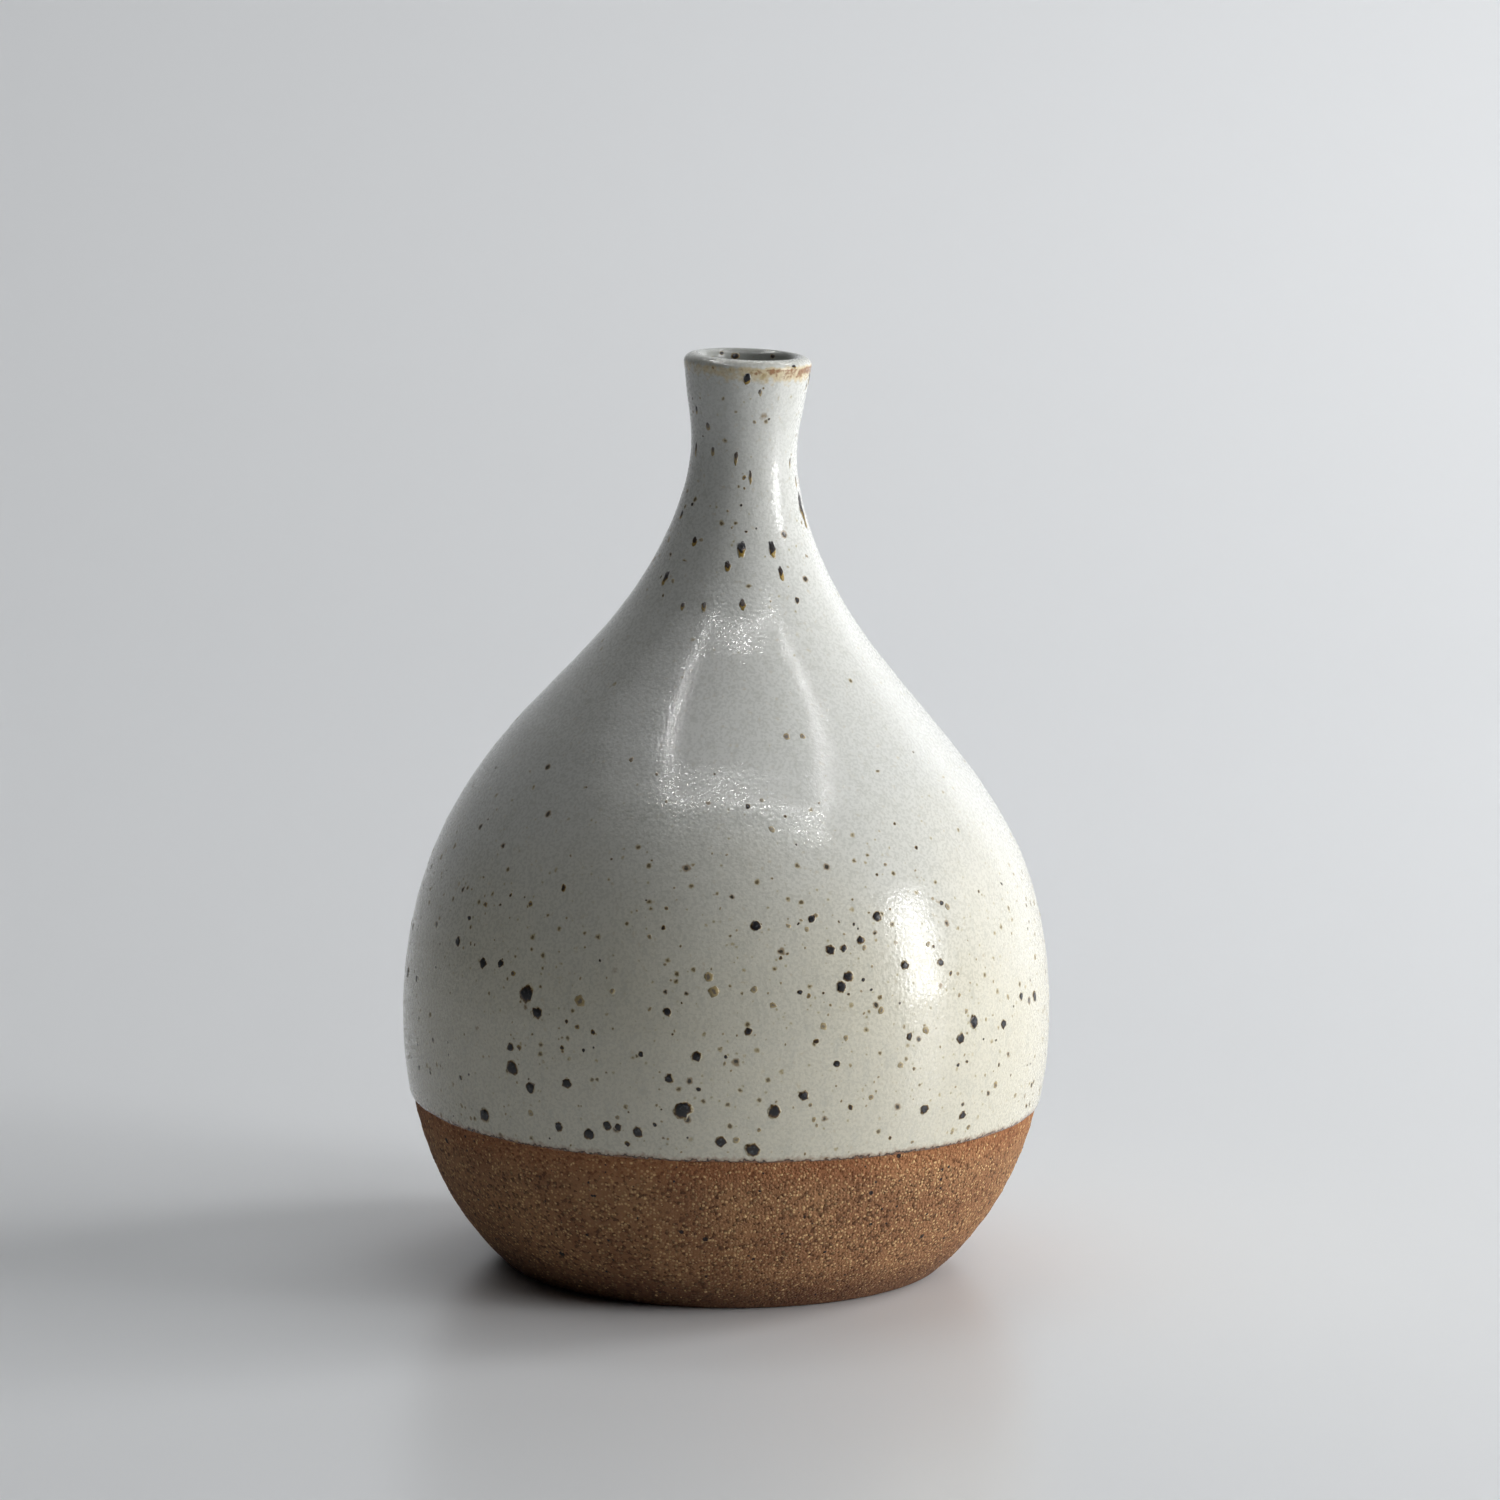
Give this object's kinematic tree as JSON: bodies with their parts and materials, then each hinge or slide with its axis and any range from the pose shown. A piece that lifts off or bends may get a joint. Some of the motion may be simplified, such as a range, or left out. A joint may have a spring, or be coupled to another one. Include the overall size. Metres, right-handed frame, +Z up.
{
  "type": "bud vase",
  "caption": "Round-bellied ceramic bud vase with a narrow, slightly leaning neck, a speckled off-white glaze and a bare brown stoneware foot.",
  "frame": {"origin": "on the surface the vase stands on, under the middle of the belly", "axes": "+Z up along the axis of the foot and belly; +X the way the neck leans; +Y away from the front"},
  "size_m": [0.0951, 0.0952, 0.1346],
  "materials": {
    "stoneware": "matt, granular, toasted brown with sand-coloured grog",
    "outer_glaze": "satin-gloss off-white with iron speckle",
    "inner_glaze": "glossy grey-white with iron speckle"
  },
  "bodies": {
    "root": {"stoneware_body": "stoneware", "outer_glaze": "outer_glaze", "inner_glaze": "inner_glaze"}
  },
  "joints": []
}
